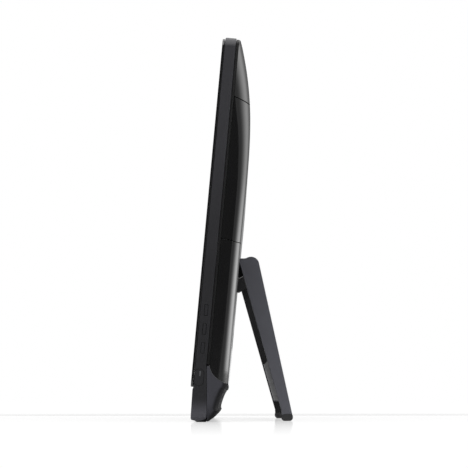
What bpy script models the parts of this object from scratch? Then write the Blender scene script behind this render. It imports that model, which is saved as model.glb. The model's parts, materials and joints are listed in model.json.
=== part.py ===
"""All-in-one desktop computer that leans back on a hinged easel stand.

Metres, +Z up. The screen faces -Y and the width runs along X. The origin is the middle of the footprint.
The slab is modelled upright in its own frame (x across, y into the depth, z up the panel), then leans back.
"""
import math

import bmesh
import bpy
from mathutils import Matrix, Vector

# Slab, in its own frame: y = 0 is the glass, z = 0 is the lower edge of the glass.
HALF_WIDTH = 0.2445
GLASS_HEIGHT = 0.3314
GLASS_THICKNESS = 0.0023
CORNER_RADIUS = 0.008
FRAME_TOP = 0.3332
FRAME_CORNER = 0.0095
FRAME_FRONT = 0.0026
FRAME_BACK = 0.0129
FRAME_WALL = 0.0028
COVER_FRONT = 0.0159
COVER_DEPTH = 0.0348
COVER_TOP = 0.3320
COVER_LEAST = 0.0006
COVER_ROUND = 0.0108
ROUND_START = 0.160
ROUND_GROWTH = 0.58
COVER_WALL = 0.0022
BAND_TOP = 0.3322
BAND_CORNER = 0.0050
BAND_WALL = 0.0015
BULGE = 0.0005
BULGE_START = 0.140
BULGE_END = 0.195
TAPER_START = 0.190
TAPER_SCALE = 4.16
TAPER_POWER = 2.78
GAP = 0.0003

# How the slab stands: the glass's lower edge in the world, and the lean.
LEAN = math.radians(5.23)
GLASS_FOOT_Y = -0.0494
GLASS_FOOT_Z = 0.033

# Chin and belly, in the world (y, z).
SEAM_Y = -0.0344
CHIN_LOW = (-0.0488, 0.0022)
CHIN_DIP = (-0.0425, -0.0004)
CHIN_HIGH = (-0.0350, 0.0032)
CHIN_BOTTOM = -0.0312
CHIN_CORNER = 0.0100
BELLY_BACK = (
    (-0.0336, 0.0006), (-0.0323, 0.0009), (-0.0312, 0.0018), (-0.0297, 0.0028), (-0.0279, 0.0040),
    (-0.0261, 0.0056), (-0.0247, 0.0072), (-0.0235, 0.0090), (-0.0227, 0.0106),
    (-0.0235, 0.0122), (-0.0232, 0.0150), (-0.0223, 0.0185), (-0.0209, 0.0225), (-0.0191, 0.0270),
    (-0.0166, 0.0316), (-0.0144, 0.0350), (-0.0124, 0.0560),
)
BELLY_ROUND = 0.0075

# Stand, in the world.
HINGE_Y = 0.0083
HINGE_Z = 0.1540
HINGE_BARREL = 0.0081
ARM_TAPER = math.radians(12.35)
ARM_INNER = 0.133
ARM_OUTER = 0.146
ARM_FRONT_HIGH = (-0.0037, 0.1586)
ARM_FRONT_LOW = (0.0382, 0.0100)
CROSSBAR_LOW = 0.020
CROSSBAR_HIGH = 0.060
CROSSBAR_DEPTH = 0.008
CROSSBAR_INSET = 0.0010
PIN_RADIUS = 0.0025
PIN_HOLE_RADIUS = 0.0026

# Controls on the right-hand side, in the slab's frame.
BUTTON_DEPTH = 0.008
BUTTON_HALF = (0.0015, 0.0051)
BUTTON_HEIGHTS = {
    "display_button": 0.0724,
    "brightness_up_button": 0.0547,
    "brightness_down_button": 0.0370,
}
POWER_HEIGHT = 0.0093
POWER_DEPTH = 0.00705

# Rear covers and sockets, in the slab's frame: seam lines are (y, z), the rest are (x, z).
UPPER_SEAM = [(0.0100, 0.2780), (0.0450, 0.2675)]
MIDDLE_SEAM = [(0.0100, 0.1410), (0.0224, 0.1401), (0.0302, 0.1386), (0.0450, 0.1380)]
SWEEP_FRONT = (0.0159, 0.0213)
SWEEP_PULL = (0.0180, 0.0100)
SWEEP_BACK = (0.0331, 0.0060)
SCREW_X = 0.227
SCREW_HEIGHTS = (0.040, 0.122)
CONNECTOR_BAY = ((-0.098, 0.0440), (0.072, 0.0640))
SOCKET_MOUTH = 0.0328

# Sockets on the back: name, low x, high x, low z, high z, hollow wall, tongue
BACK_SOCKETS = (
    ("usb_socket_1", -0.0640, -0.0500, 0.0500, 0.0572, 0.0006, True),
    ("usb_socket_2", -0.0440, -0.0300, 0.0500, 0.0572, 0.0006, True),
    ("hdmi_socket", -0.0230, -0.0080, 0.0505, 0.0562, 0.0006, True),
    ("lan_socket", -0.0900, -0.0735, 0.0472, 0.0608, 0.0022, False),
)

# Sockets on the left-hand side: name, low z, high z, front, back
SIDE_SOCKETS = (
    ("usb_socket_side_1", 0.0600, 0.0740, 0.0042, 0.0108),
    ("usb_socket_side_2", 0.0840, 0.0980, 0.0042, 0.0108),
    ("headset_socket", 0.1080, 0.1150, 0.0040, 0.0108),
    ("card_slot", 0.1270, 0.1540, 0.0058, 0.0098),
)

# Fan, in the slab's frame.
FAN_X = -0.070
FAN_Z = 0.205
FAN_RADIUS = 0.034
FAN_BLADES = 11

MATERIALS = {
    "glass": ((0.010, 0.010, 0.011), 0.06, 0.0),
    "frame": ((0.036, 0.036, 0.040), 0.50, 0.0),
    "cover": ((0.010, 0.010, 0.010), 0.15, 0.0),
    "band": ((0.008, 0.008, 0.009), 0.45, 0.0),
    "stand": ((0.058, 0.060, 0.065), 0.42, 0.0),
    "rubber": ((0.020, 0.020, 0.020), 0.85, 0.0),
    "steel": ((0.55, 0.56, 0.57), 0.35, 1.0),
    "copper": ((0.72, 0.36, 0.20), 0.30, 1.0),
    "aluminium": ((0.70, 0.71, 0.72), 0.35, 1.0),
    "board": ((0.02, 0.09, 0.05), 0.50, 0.0),
    "plastic": ((0.018, 0.018, 0.019), 0.55, 0.0),
    "light": ((0.85, 0.88, 0.92), 0.30, 0.0),
}


def clear_scene():
    for obj in list(bpy.data.objects):
        bpy.data.objects.remove(obj)


def material(name):
    """The named material, made the first time that it is asked for."""
    found = bpy.data.materials.get(name)
    if found:
        return found
    colour, roughness, metallic = MATERIALS[name]
    made = bpy.data.materials.new(name)
    made.use_nodes = True
    shader = made.node_tree.nodes["Principled BSDF"]
    shader.inputs["Base Color"].default_value = (*colour, 1.0)
    shader.inputs["Roughness"].default_value = roughness
    shader.inputs["Metallic"].default_value = metallic
    return made


# ---------------------------------------------------------------- solids

def object_of(name, shape):
    """An object from a bmesh, with its faces turned outwards."""
    bmesh.ops.recalc_face_normals(shape, faces=shape.faces)
    mesh = bpy.data.meshes.new(name)
    shape.to_mesh(mesh)
    shape.free()
    obj = bpy.data.objects.new(name, mesh)
    bpy.context.scene.collection.objects.link(obj)
    return obj


def prism(name, outline, low, high, axis="X"):
    """A flat outline pushed from low to high. Along X it is (y, z), along Y (x, z), along Z (x, y)."""
    place = {
        "X": lambda a, b, level: (level, a, b),
        "Y": lambda a, b, level: (a, level, b),
        "Z": lambda a, b, level: (a, b, level),
    }[axis]
    shape = bmesh.new()
    rings = [[shape.verts.new(place(a, b, level)) for a, b in outline] for level in (low, high)]
    shape.faces.new(rings[0])
    shape.faces.new(rings[1])
    for i in range(len(outline)):
        j = (i + 1) % len(outline)
        shape.faces.new((rings[0][i], rings[0][j], rings[1][j], rings[1][i]))
    return object_of(name, shape)


def box(name, low, high):
    outline = ((low[0], low[1]), (high[0], low[1]), (high[0], high[1]), (low[0], high[1]))
    return prism(name, outline, low[2], high[2], "Z")


def circle(centre, radius, segments, start=0.0, sweep=math.tau):
    """Points round a circle. A full sweep leaves the last point out, because it would repeat the first."""
    steps = segments if sweep == math.tau else segments + 1
    angles = [start + sweep * i / segments for i in range(steps)]
    return [(centre[0] + radius * math.cos(a), centre[1] + radius * math.sin(a)) for a in angles]


def cylinder(name, centre, radius, low, high, axis="Y", segments=20):
    return prism(name, circle(centre, radius, segments), low, high, axis)


def rounded_rectangle(low, high, radius, segments=5):
    """A rectangle with four round corners."""
    quarter = math.pi / 2
    corners = (
        (high[0] - radius, high[1] - radius, 0.0),
        (low[0] + radius, high[1] - radius, quarter),
        (low[0] + radius, low[1] + radius, 2 * quarter),
        (high[0] - radius, low[1] + radius, 3 * quarter),
    )
    points = []
    for x, y, start in corners:
        points += circle((x, y), radius, segments, start, quarter)
    return points


def combine(target, tool, operation):
    """Applies one Boolean to the target and removes the tool."""
    modifier = target.modifiers.new(tool.name, "BOOLEAN")
    modifier.operation = operation
    modifier.object = tool
    modifier.solver = "EXACT"
    bpy.context.view_layer.update()
    graph = bpy.context.evaluated_depsgraph_get()
    mesh = bpy.data.meshes.new_from_object(target.evaluated_get(graph))
    target.modifiers.clear()
    old = target.data
    target.data = mesh
    bpy.data.meshes.remove(old)
    bpy.data.objects.remove(tool)
    return target


def cut(target, *tools):
    for tool in tools:
        combine(target, tool, "DIFFERENCE")
    return target


def join(target, *tools):
    for tool in tools:
        combine(target, tool, "UNION")
    return target


def finish(obj, name, material_name, parent=None, pivot=(0.0, 0.0, 0.0)):
    """Names a piece, gives it its material and smooth round faces, and puts its origin on the pivot."""
    obj.name = name
    obj.data.name = name
    obj.data.materials.clear()
    obj.data.materials.append(material(material_name))
    obj.data.transform(Matrix.Translation(-Vector(pivot)))
    obj.location = pivot
    obj.parent = parent
    obj.data.shade_smooth()
    obj.data.set_sharp_from_angle(angle=math.radians(35))
    return obj


def slab_point(y, z):
    """A world (y, z) point of the side view, in the slab's own frame."""
    across = y - GLASS_FOOT_Y
    up = z - GLASS_FOOT_Z
    return (
        across * math.cos(LEAN) - up * math.sin(LEAN),
        across * math.sin(LEAN) + up * math.cos(LEAN),
    )


def world_point(y, z):
    """A (y, z) point of the slab's frame, in the world."""
    return (
        GLASS_FOOT_Y + y * math.cos(LEAN) + z * math.sin(LEAN),
        GLASS_FOOT_Z - y * math.sin(LEAN) + z * math.cos(LEAN),
    )


def slab_outline(points):
    return [slab_point(y, z) for y, z in points]


def bend(start, control, end, steps):
    """A quadratic curve from start to end, pulled towards control."""
    points = []
    for i in range(steps + 1):
        t = i / steps
        points.append(
            tuple((1 - t) ** 2 * a + 2 * t * (1 - t) * b + t * t * c for a, b, c in zip(start, control, end))
        )
    return points


# ---------------------------------------------------------------- glass and front frame

def front_glass(slab):
    outline = rounded_rectangle((-HALF_WIDTH, 0.0), (HALF_WIDTH, GLASS_HEIGHT), CORNER_RADIUS, 6)
    finish(prism("glass", outline, 0.0, GLASS_THICKNESS, "Y"), "front_glass", "glass", slab)


def front_frame(slab):
    """The frame round the glass, one moulding with the chin under it, open at the back."""
    chin = [(SEAM_Y, 0.0484), (SEAM_Y, 0.0060)] + bend(CHIN_HIGH, CHIN_DIP, CHIN_LOW, 8)
    chin += [(-0.0494, 0.0034), (-0.0476, 0.0305), (-0.0470, 0.0318)]
    outline = [(FRAME_FRONT, -0.0008), (FRAME_FRONT, FRAME_TOP - 0.0014), (FRAME_FRONT + 0.0012, FRAME_TOP)]
    outline += [(FRAME_BACK, FRAME_TOP), (FRAME_BACK, 0.0205)] + slab_outline(chin)
    frame = prism("frame", outline, -HALF_WIDTH, HALF_WIDTH)
    edge = frame_edge()
    combine(frame, prism("edge", edge, -0.02, 0.05, "Y"), "INTERSECT")

    inner = HALF_WIDTH - FRAME_WALL
    radius = CORNER_RADIUS - FRAME_WALL
    bay = rounded_rectangle((-inner, 0.0005), (inner, GLASS_HEIGHT - FRAME_WALL), radius, 4)
    cavity = slab_outline([(-0.0462, 0.0072), (-0.0446, 0.0285), (-0.0200, 0.0285), (-0.0200, 0.0072)])
    cut(frame, prism("bay", bay, -0.01, 0.05, "Y"), prism("cavity", cavity, -inner, inner))
    for side in (-1, 1):
        ends = sorted((side * 0.070, side * 0.190))
        cut(frame, box("grille_window", (ends[0], -0.008, -0.0210), (ends[1], 0.0052, -0.0090)))
    low, high = BUTTON_DEPTH - BUTTON_HALF[0] - GAP, BUTTON_DEPTH + BUTTON_HALF[0] + GAP
    tall = BUTTON_HALF[1] + GAP
    for height in BUTTON_HEIGHTS.values():
        cut(frame, box("slot", (0.235, low, height - tall), (0.250, high, height + tall)))
    cut(frame, box("button_room", (0.2300, 0.0025, 0.0006), (inner, 0.0200, 0.0200)))
    cut(frame, prism("pill", power_outline(GAP), 0.235, 0.250))
    for _, low, high, front, back in SIDE_SOCKETS:
        cut(frame, box("socket_slot", (-0.250, front - GAP, low - GAP), (-0.235, back + GAP, high + GAP)))
    finish(frame, "front_frame", "frame", slab)


def frame_edge():
    """The frame's front view, with a rounder pair of corners at the bottom than at the top."""
    top = rounded_rectangle((-HALF_WIDTH, CHIN_BOTTOM), (HALF_WIDTH, FRAME_TOP), FRAME_CORNER, 6)
    bottom = rounded_rectangle((-HALF_WIDTH, CHIN_BOTTOM), (HALF_WIDTH, FRAME_TOP), CHIN_CORNER, 6)
    return [point for point in top if point[1] > 0.0] + [point for point in bottom if point[1] < 0.0]


def power_outline(grow):
    """The pill shape of the power button, in the slab's (y, z)."""
    half_width = 0.0043 + grow
    half_height = 0.0078 + grow
    low = (POWER_DEPTH - half_width, POWER_HEIGHT - half_height)
    high = (POWER_DEPTH + half_width, POWER_HEIGHT + half_height)
    return rounded_rectangle(low, high, half_width - 0.0002, 6)


def speaker_parts(slab):
    """A slotted grille in the chin's face and a slim speaker box behind it, on each side."""
    for side, label in ((-1, "left"), (1, "right")):
        low, high = sorted((side * 0.0703, side * 0.1897))
        grille = box("grille", (low, 0.0026, -0.0207), (high, 0.0044, -0.0093))
        slots = 24
        pitch = (high - low - 0.006) / slots
        for i in range(slots):
            x = low + 0.003 + pitch * (i + 0.5)
            cut(grille, box("slot", (x - 0.0011, 0.0, -0.0190), (x + 0.0011, 0.01, -0.0110)))
        finish(grille, f"speaker_grille_{label}", "plastic", slab)

        low, high = sorted((side * 0.080, side * 0.180))
        body = box("speaker", (low, 0.0092, -0.0215), (high, 0.0230, -0.0062))
        cone = cylinder("cone", ((low + high) / 2, -0.0140), 0.0060, 0.0062, 0.0100, segments=16)
        hollow = cylinder("hollow", ((low + high) / 2, -0.0140), 0.0048, 0.0040, 0.0085, segments=16)
        finish(cut(join(body, cone), hollow), f"speaker_{label}", "plastic", slab)


def foot_pads(slab):
    """Rubber strips under the chin that the slab stands on."""
    under_chin = [(y, z - GAP) for y, z in bend(CHIN_HIGH, CHIN_DIP, CHIN_LOW, 8)[:-2]]
    outline = slab_outline([(-0.0436, 0.0), (-0.0354, 0.0), (-0.0350, 0.0006)] + under_chin)
    for side, label in ((-1, "left"), (1, "right")):
        low, high = sorted((side * 0.090, side * 0.2320))
        finish(prism("pad", outline, low, high), f"foot_pad_{label}", "rubber", slab)


# ---------------------------------------------------------------- rear covers

def back_depth(z):
    """How deep the rear cover is at a height: it swells a little above the middle, then thins to the top."""
    share = min(1.0, max(0.0, (z - BULGE_START) / (BULGE_END - BULGE_START)))
    above = max(0.0, z - TAPER_START)
    depth = COVER_DEPTH + BULGE * share ** 2 * (3.0 - 2.0 * share)
    return max(COVER_FRONT + COVER_LEAST, depth - TAPER_SCALE * above ** TAPER_POWER)


def edge_round(z):
    """The radius between the cover's side and its back, which grows towards the top."""
    return COVER_ROUND + ROUND_GROWTH * max(0.0, z - ROUND_START) ** 2


def half_width_at(z):
    """The half width of the outline, which rounds off at the two top corners."""
    above = max(0.0, z - (COVER_TOP - CORNER_RADIUS))
    return HALF_WIDTH - CORNER_RADIUS + math.sqrt(max(0.0, CORNER_RADIUS ** 2 - above ** 2))


def cover_section(z, front, inset):
    """One level of the cover. Where the round is deeper than the cover, the arc starts part-way round."""
    radius = edge_round(z)
    level = back_depth(z) - radius
    outer_start = math.asin(max(0.0, COVER_FRONT - level) / radius)
    middle = half_width_at(z) - radius * math.cos(outer_start)
    radius -= inset
    start = math.asin(min(0.999, max(0.0, COVER_FRONT - level) / radius))
    sweep = math.pi / 2 - start
    left = circle((-middle, level), radius, 6, math.pi - start, -sweep)
    right = circle((middle, level), radius, 6, math.pi / 2, -sweep)
    points = [(left[0][0], front)] + left + right + [(right[-1][0], front)]
    return [(x, y, z) for x, y in points]


def cover_solid(name, levels, front, inset):
    """The sections at the levels, joined up into a closed solid."""
    shape = bmesh.new()
    rings = [[shape.verts.new(point) for point in cover_section(z, front, inset)] for z in levels]
    shape.faces.new(rings[0])
    shape.faces.new(rings[-1])
    for first, second in zip(rings, rings[1:]):
        for i in range(len(first)):
            j = (i + 1) % len(first)
            shape.faces.new((first[i], first[j], second[j], second[i]))
    return object_of(name, shape)


def spread(low, high, steps):
    return [low + (high - low) * i / steps for i in range(steps + 1)]


def sweep_edge(shift=0.0):
    """The hollow curve, down and back, where the lower cover meets the belly."""
    points = bend(SWEEP_FRONT, SWEEP_PULL, SWEEP_BACK, 8)
    return [(y - shift, z - shift) for y, z in points]


def lower_edge():
    return [(0.0100, 0.0215)] + sweep_edge() + [(0.0450, 0.0054)]


def between(low_line, high_line):
    """The side-view outline between two seam lines, drawn in by half a gap at each."""
    lower = [(y, z + GAP / 2) for y, z in low_line]
    upper = [(y, z - GAP / 2) for y, z in high_line]
    return lower + upper[::-1]


def cover_shell(levels, inner_levels, outline):
    """A thin shell of the rear cover, open at the front, cut to its side-view outline."""
    shell = cover_solid("shell", levels, COVER_FRONT, 0.0)
    combine(shell, prism("slab", outline, -0.3, 0.3), "INTERSECT")
    return cut(shell, cover_solid("hollow", inner_levels, COVER_FRONT - 0.004, COVER_WALL))


def rear_cover_upper(slab):
    top = COVER_TOP
    levels = [0.25] + spread(0.262, top - CORNER_RADIUS, 7)
    levels += [top - CORNER_RADIUS * share for share in (0.75, 0.5, 0.25, 0.1, 0.0)]
    inner = spread(0.2504, 0.3100, 5)
    outline = between(UPPER_SEAM, [(0.0100, 0.3400), (0.0450, 0.3400)])
    finish(cover_shell(levels, inner, outline), "rear_cover_upper", "cover", slab)


def rear_cover_middle(slab):
    levels = [0.12] + spread(BULGE_START, 0.29, 10)
    inner = [0.11] + spread(BULGE_START, 0.30, 10)
    cover = cover_shell(levels, inner, between(MIDDLE_SEAM, UPPER_SEAM))
    vents = 20
    for i in range(vents):
        x = (i - (vents - 1) / 2) * 0.0080
        cut(cover, box("vent", (x - 0.0015, 0.025, 0.232), (x + 0.0015, 0.045, 0.252)))
    finish(cover, "rear_cover_middle", "cover", slab)


def rear_cover_lower(slab):
    levels = [-0.02, BULGE_START, 0.155]
    inner = [-0.03, BULGE_START, 0.165]
    cover = cover_shell(levels, inner, between(lower_edge(), MIDDLE_SEAM))
    for side in (-1, 1):
        low, high = sorted((side * 0.1200, side * (ARM_OUTER + 0.0012)))
        cut(cover, box("hinge_window", (low, 0.025, 0.1115), (high, 0.045, 0.1345)))
        for height in SCREW_HEIGHTS:
            centre = (side * SCREW_X, height)
            cut(cover, cylinder("sink", centre, 0.0036, screw_seat(height) - 0.0004, 0.045, segments=16))
            cut(cover, cylinder("hole", centre, 0.0017, 0.025, 0.045, segments=12))
    low, high = CONNECTOR_BAY
    cut(cover, box("connector_bay", (low[0], 0.025, low[1]), (high[0], 0.045, high[1])))
    cut(cover, box("lock_slot", (-0.1135, 0.025, 0.0500), (-0.1065, 0.045, 0.0530)))
    finish(cover, "rear_cover_lower", "cover", slab)


def screw_seat(height):
    """How deep the underside of a screw's head sits."""
    return back_depth(height) - 0.0011


def cover_screws(slab):
    """Four screws that hold the lower cover, sunk in its back."""
    for side, label in ((-1, "left"), (1, "right")):
        for height, level in zip(SCREW_HEIGHTS, ("lower", "upper")):
            centre = (side * SCREW_X, height)
            seat = screw_seat(height)
            head = cylinder("head", centre, 0.0032, seat, seat + 0.0008, segments=16)
            shank = cylinder("shank", centre, 0.0014, 0.0200, seat + 0.0004, segments=12)
            cross = []
            for half in ((0.0018, 0.0003), (0.0003, 0.0018)):
                cross.append(box(
                    "cross",
                    (centre[0] - half[0], seat + 0.0004, centre[1] - half[1]),
                    (centre[0] + half[0], seat + 0.0020, centre[1] + half[1]),
                ))
            finish(cut(join(head, shank), *cross), f"cover_screw_{level}_{label}", "steel", slab)


def belly_solid(name, front, inset, low):
    """Sections of the belly at each bend of its back, with round rear edges like the cover's above it."""
    shape = bmesh.new()
    rings = []
    half = HALF_WIDTH - inset
    for back, z in BELLY_BACK:
        back -= inset
        radius = max(0.0003, min(BELLY_ROUND, back + inset - SEAM_Y - 0.0005) - inset)
        points = [(-half, front)]
        points += circle((-half + radius, back - radius), radius, 5, math.pi, -math.pi / 2)
        points += circle((half - radius, back - radius), radius, 5, math.pi / 2, -math.pi / 2)
        points += [(half, front)]
        rings.append([shape.verts.new((x, y, max(z, low))) for x, y in points])
        low = max(low, z) + 0.0001
    shape.faces.new(rings[0])
    shape.faces.new(rings[-1])
    for first, second in zip(rings, rings[1:]):
        for i in range(len(first)):
            j = (i + 1) % len(first)
            shape.faces.new((first[i], first[j], second[j], second[i]))
    return object_of(name, shape)


def base_cover():
    """The belly behind the chin: a curved back that runs down to the foot, hollow for the speakers."""
    belly = belly_solid("belly", SEAM_Y + GAP, 0.0, 0.0)
    top = [(SEAM_Y - 0.01, 0.0), world_point(0.0100, 0.0206), world_point(0.0135, 0.0206)]
    top += [world_point(y, z) for y, z in sweep_edge(GAP)] + [(0.0, 0.0345), (0.0, 0.0)]
    combine(belly, prism("under_cover", top, -0.3, 0.3), "INTERSECT")
    cut(belly, belly_solid("hollow", SEAM_Y - 0.01, COVER_WALL, 0.0058))
    finish(belly, "base_cover", "frame")


# ---------------------------------------------------------------- inside the slab

def chassis(slab):
    half = HALF_WIDTH - 0.0033
    side, height = half - BAND_CORNER, BAND_TOP - BAND_CORNER
    outer = [(-half, 0.0218), (half, 0.0218)] + circle((side, height), BAND_CORNER, 4, 0.0, math.pi / 2)
    outer += circle((-side, height), BAND_CORNER, 4, math.pi / 2, math.pi / 2)
    band = prism("band", outer, 0.0132, 0.0156, "Y")
    low, high = (BAND_WALL - half, 0.0218 + BAND_WALL), (half - BAND_WALL, BAND_TOP - BAND_WALL)
    hole = rounded_rectangle(low, high, BAND_CORNER - BAND_WALL, 4)
    finish(cut(band, prism("hole", hole, 0.0, 0.02, "Y")), "chassis_band", "band", slab)

    plate = box("plate", (-0.232, 0.0110, 0.0225), (0.232, 0.0122, 0.3250))
    for x in spread(-0.19, 0.19, 4):
        window = rounded_rectangle((x - 0.022, 0.275), (x + 0.022, 0.305), 0.004, 3)
        cut(plate, prism("window", window, 0.0, 0.02, "Y"))
    finish(plate, "chassis_plate", "steel", slab)

    panel = box("panel", (-0.224, 0.0029, 0.0500), (0.224, 0.0104, 0.3110))
    finish(panel, "lcd_panel", "plastic", slab)

    camera = box("camera", (-0.036, 0.0040, 0.3150), (0.036, 0.0056, 0.3240))
    lens = cylinder("lens", (0.0, 0.3195), 0.0032, 0.0027, 0.0048, segments=16)
    finish(join(camera, lens), "camera_module", "board", slab)


def system_board(slab):
    board = box("board", (-0.022, 0.0146, 0.098), (0.114, 0.0162, 0.270))
    finish(board, "system_board", "board", slab)

    memory = box("memory", (0.034, 0.0165, 0.104), (0.108, 0.0205, 0.110))
    stick = box("stick", (0.037, 0.0172, 0.109), (0.105, 0.0186, 0.138))
    finish(join(memory, stick), "memory_module", "board", slab)

    card = box("card", (-0.010, 0.0165, 0.108), (0.016, 0.0195, 0.113))
    radio = box("radio", (-0.009, 0.0172, 0.112), (0.015, 0.0182, 0.138))
    finish(join(card, radio), "wireless_card", "board", slab)

    cell = cylinder("cell", (0.006, 0.170), 0.0100, 0.0165, 0.0197, segments=24)
    finish(cell, "coin_cell", "steel", slab)

    cold = box("cold", (0.050, 0.0165, 0.185), (0.100, 0.0196, 0.235))
    finish(cold, "processor_cold_plate", "copper", slab)


def heat_pipe(slab):
    """A flattened copper pipe from the cold plate to the fins."""
    route = [(0.092, 0.210), (0.060, 0.212), (0.034, 0.226), (0.012, 0.246)]
    route += [(-0.014, 0.257), (-0.050, 0.2585), (-0.108, 0.2585)]
    curve = bpy.data.curves.new("pipe", "CURVE")
    curve.dimensions = "3D"
    curve.bevel_depth = 0.0027
    curve.bevel_resolution = 2
    curve.use_fill_caps = True
    line = curve.splines.new("POLY")
    line.points.add(len(route) - 1)
    for point, (x, z) in zip(line.points, route):
        point.co = (x, 0.0228, z, 1.0)
    pipe = bpy.data.objects.new("pipe", curve)
    bpy.context.scene.collection.objects.link(pipe)
    bpy.context.view_layer.update()
    mesh = bpy.data.meshes.new_from_object(pipe)
    bpy.data.objects.remove(pipe)
    shape = bmesh.new()
    shape.from_mesh(mesh)
    bmesh.ops.remove_doubles(shape, verts=shape.verts, dist=0.00001)
    finish(object_of("pipe", shape), "heat_pipe", "copper", slab)


def heat_sink(slab):
    sink = box("sink", (-0.112, 0.0182, 0.2500), (-0.028, 0.0198, 0.2670))
    for x in spread(-0.1105, -0.0295, 18):
        join(sink, box("fin", (x - 0.0005, 0.0146, 0.2505), (x + 0.0005, 0.0186, 0.2665)))
    finish(sink, "heat_sink", "aluminium", slab)


def fan(slab):
    """A flat blower: its housing blows up through the fins, and its rotor turns about the depth."""
    housing = box("housing", (FAN_X - 0.042, 0.0140, FAN_Z - 0.042), (FAN_X + 0.042, 0.0275, FAN_Z + 0.042))
    cut(
        housing,
        cylinder("room", (FAN_X, FAN_Z), FAN_RADIUS + 0.003, 0.0155, 0.0260, segments=40),
        box("outlet", (FAN_X - 0.034, 0.0155, FAN_Z), (FAN_X + 0.034, 0.0260, FAN_Z + 0.05)),
        cylinder("inlet", (FAN_X, FAN_Z), 0.022, 0.0250, 0.0300, segments=32),
    )
    finish(housing, "fan_housing", "plastic", slab)

    rotor = cylinder("hub", (FAN_X, FAN_Z), 0.0120, 0.0165, 0.0250, segments=24)
    join(rotor, cylinder("disc", (FAN_X, FAN_Z), FAN_RADIUS, 0.0165, 0.0177, segments=32))
    for i in range(FAN_BLADES):
        turn = math.tau * i / FAN_BLADES
        inner = circle((FAN_X, FAN_Z), 0.0110, 1, turn, 0.02)[0]
        outer = circle((FAN_X, FAN_Z), FAN_RADIUS - 0.001, 1, turn + 0.35, 0.02)[0]
        along = Vector((outer[0] - inner[0], outer[1] - inner[1])).normalized()
        side = Vector((-along.y, along.x)) * 0.0006
        corners = [Vector(inner) + side, Vector(outer) + side, Vector(outer) - side, Vector(inner) - side]
        join(rotor, prism("blade", [tuple(corner) for corner in corners], 0.0170, 0.0247, "Y"))
    finish(rotor, "fan_rotor", "plastic", slab, (FAN_X, 0.0207, FAN_Z))


def hard_drive(slab):
    finish(box("drive", (-0.215, 0.0152, 0.027), (-0.115, 0.0247, 0.097)), "hard_drive", "aluminium", slab)
    tray = [
        (0.0130, 0.0240), (0.0262, 0.0240), (0.0262, 0.0255), (0.0145, 0.0255),
        (0.0145, 0.0985), (0.0262, 0.0985), (0.0262, 0.1000), (0.0130, 0.1000),
    ]
    finish(prism("cage", tray, -0.219, -0.111), "hard_drive_cage", "steel", slab)


# ---------------------------------------------------------------- sockets

def back_connectors(slab):
    """The board behind the connector bay, its plate, and the sockets that reach through the plate."""
    finish(box("io", (-0.102, 0.0146, 0.0380), (0.080, 0.0162, 0.0700)), "connector_board", "board", slab)
    plate = box("plate", (-0.101, SOCKET_MOUTH - 0.0020, 0.0410), (0.075, SOCKET_MOUTH - 0.0009, 0.0670))
    for _, low, high, bottom, top, _, _ in BACK_SOCKETS:
        cut(plate, box("window", (low - GAP, 0.025, bottom - GAP), (high + GAP, 0.034, top + GAP)))
    cut(plate, cylinder("window", (0.045, 0.0540), 0.0053, 0.025, 0.034, segments=24))
    finish(plate, "connector_plate", "plastic", slab)

    for name, low, high, bottom, top, wall, tongue in BACK_SOCKETS:
        socket = box(name, (low, 0.0170, bottom), (high, SOCKET_MOUTH, top))
        cut(socket, box("hollow", (low + wall, 0.0205, bottom + wall), (high - wall, 0.0400, top - wall)))
        if tongue:
            middle = (bottom + top) / 2
            low_corner = (low + 0.0018, 0.0195, middle - 0.0008)
            join(socket, box("tongue", low_corner, (high - 0.0018, SOCKET_MOUTH - 0.0011, middle + 0.0008)))
        finish(socket, name, "steel" if tongue else "plastic", slab)

    inlet = cylinder("inlet", (0.045, 0.0540), 0.0050, 0.0170, SOCKET_MOUTH, segments=24)
    cut(inlet, cylinder("hollow", (0.045, 0.0540), 0.0032, 0.0220, 0.0400, segments=20))
    join(inlet, cylinder("contact", (0.045, 0.0540), 0.0008, 0.0210, SOCKET_MOUTH - 0.0016, segments=10))
    finish(inlet, "power_inlet", "plastic", slab)


def side_connectors(slab):
    outside = -HALF_WIDTH + 0.0002
    inside = -0.2330
    floor = inside - 0.0015
    for name, low, high, front, back in SIDE_SOCKETS:
        socket = box(name, (outside, front, low), (inside, back, high))
        middle = (front + back) / 2
        if name == "headset_socket":
            cut(socket, cylinder("hollow", (middle, (low + high) / 2), 0.0018, -0.260, floor, "X", 16))
        elif name == "card_slot":
            far = (floor, back - 0.0009, high - 0.0012)
            cut(socket, box("hollow", (-0.260, front + 0.0009, low + 0.0012), far))
        else:
            far = (floor, back - 0.0006, high - 0.0006)
            cut(socket, box("hollow", (-0.260, front + 0.0006, low + 0.0006), far))
            near = (outside + 0.0012, middle - 0.0007, low + 0.0018)
            join(socket, box("tongue", near, (inside - 0.0010, middle + 0.0007, high - 0.0018)))
        finish(socket, name, "plastic" if name in ("headset_socket", "card_slot") else "steel", slab)


# ---------------------------------------------------------------- controls

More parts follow.
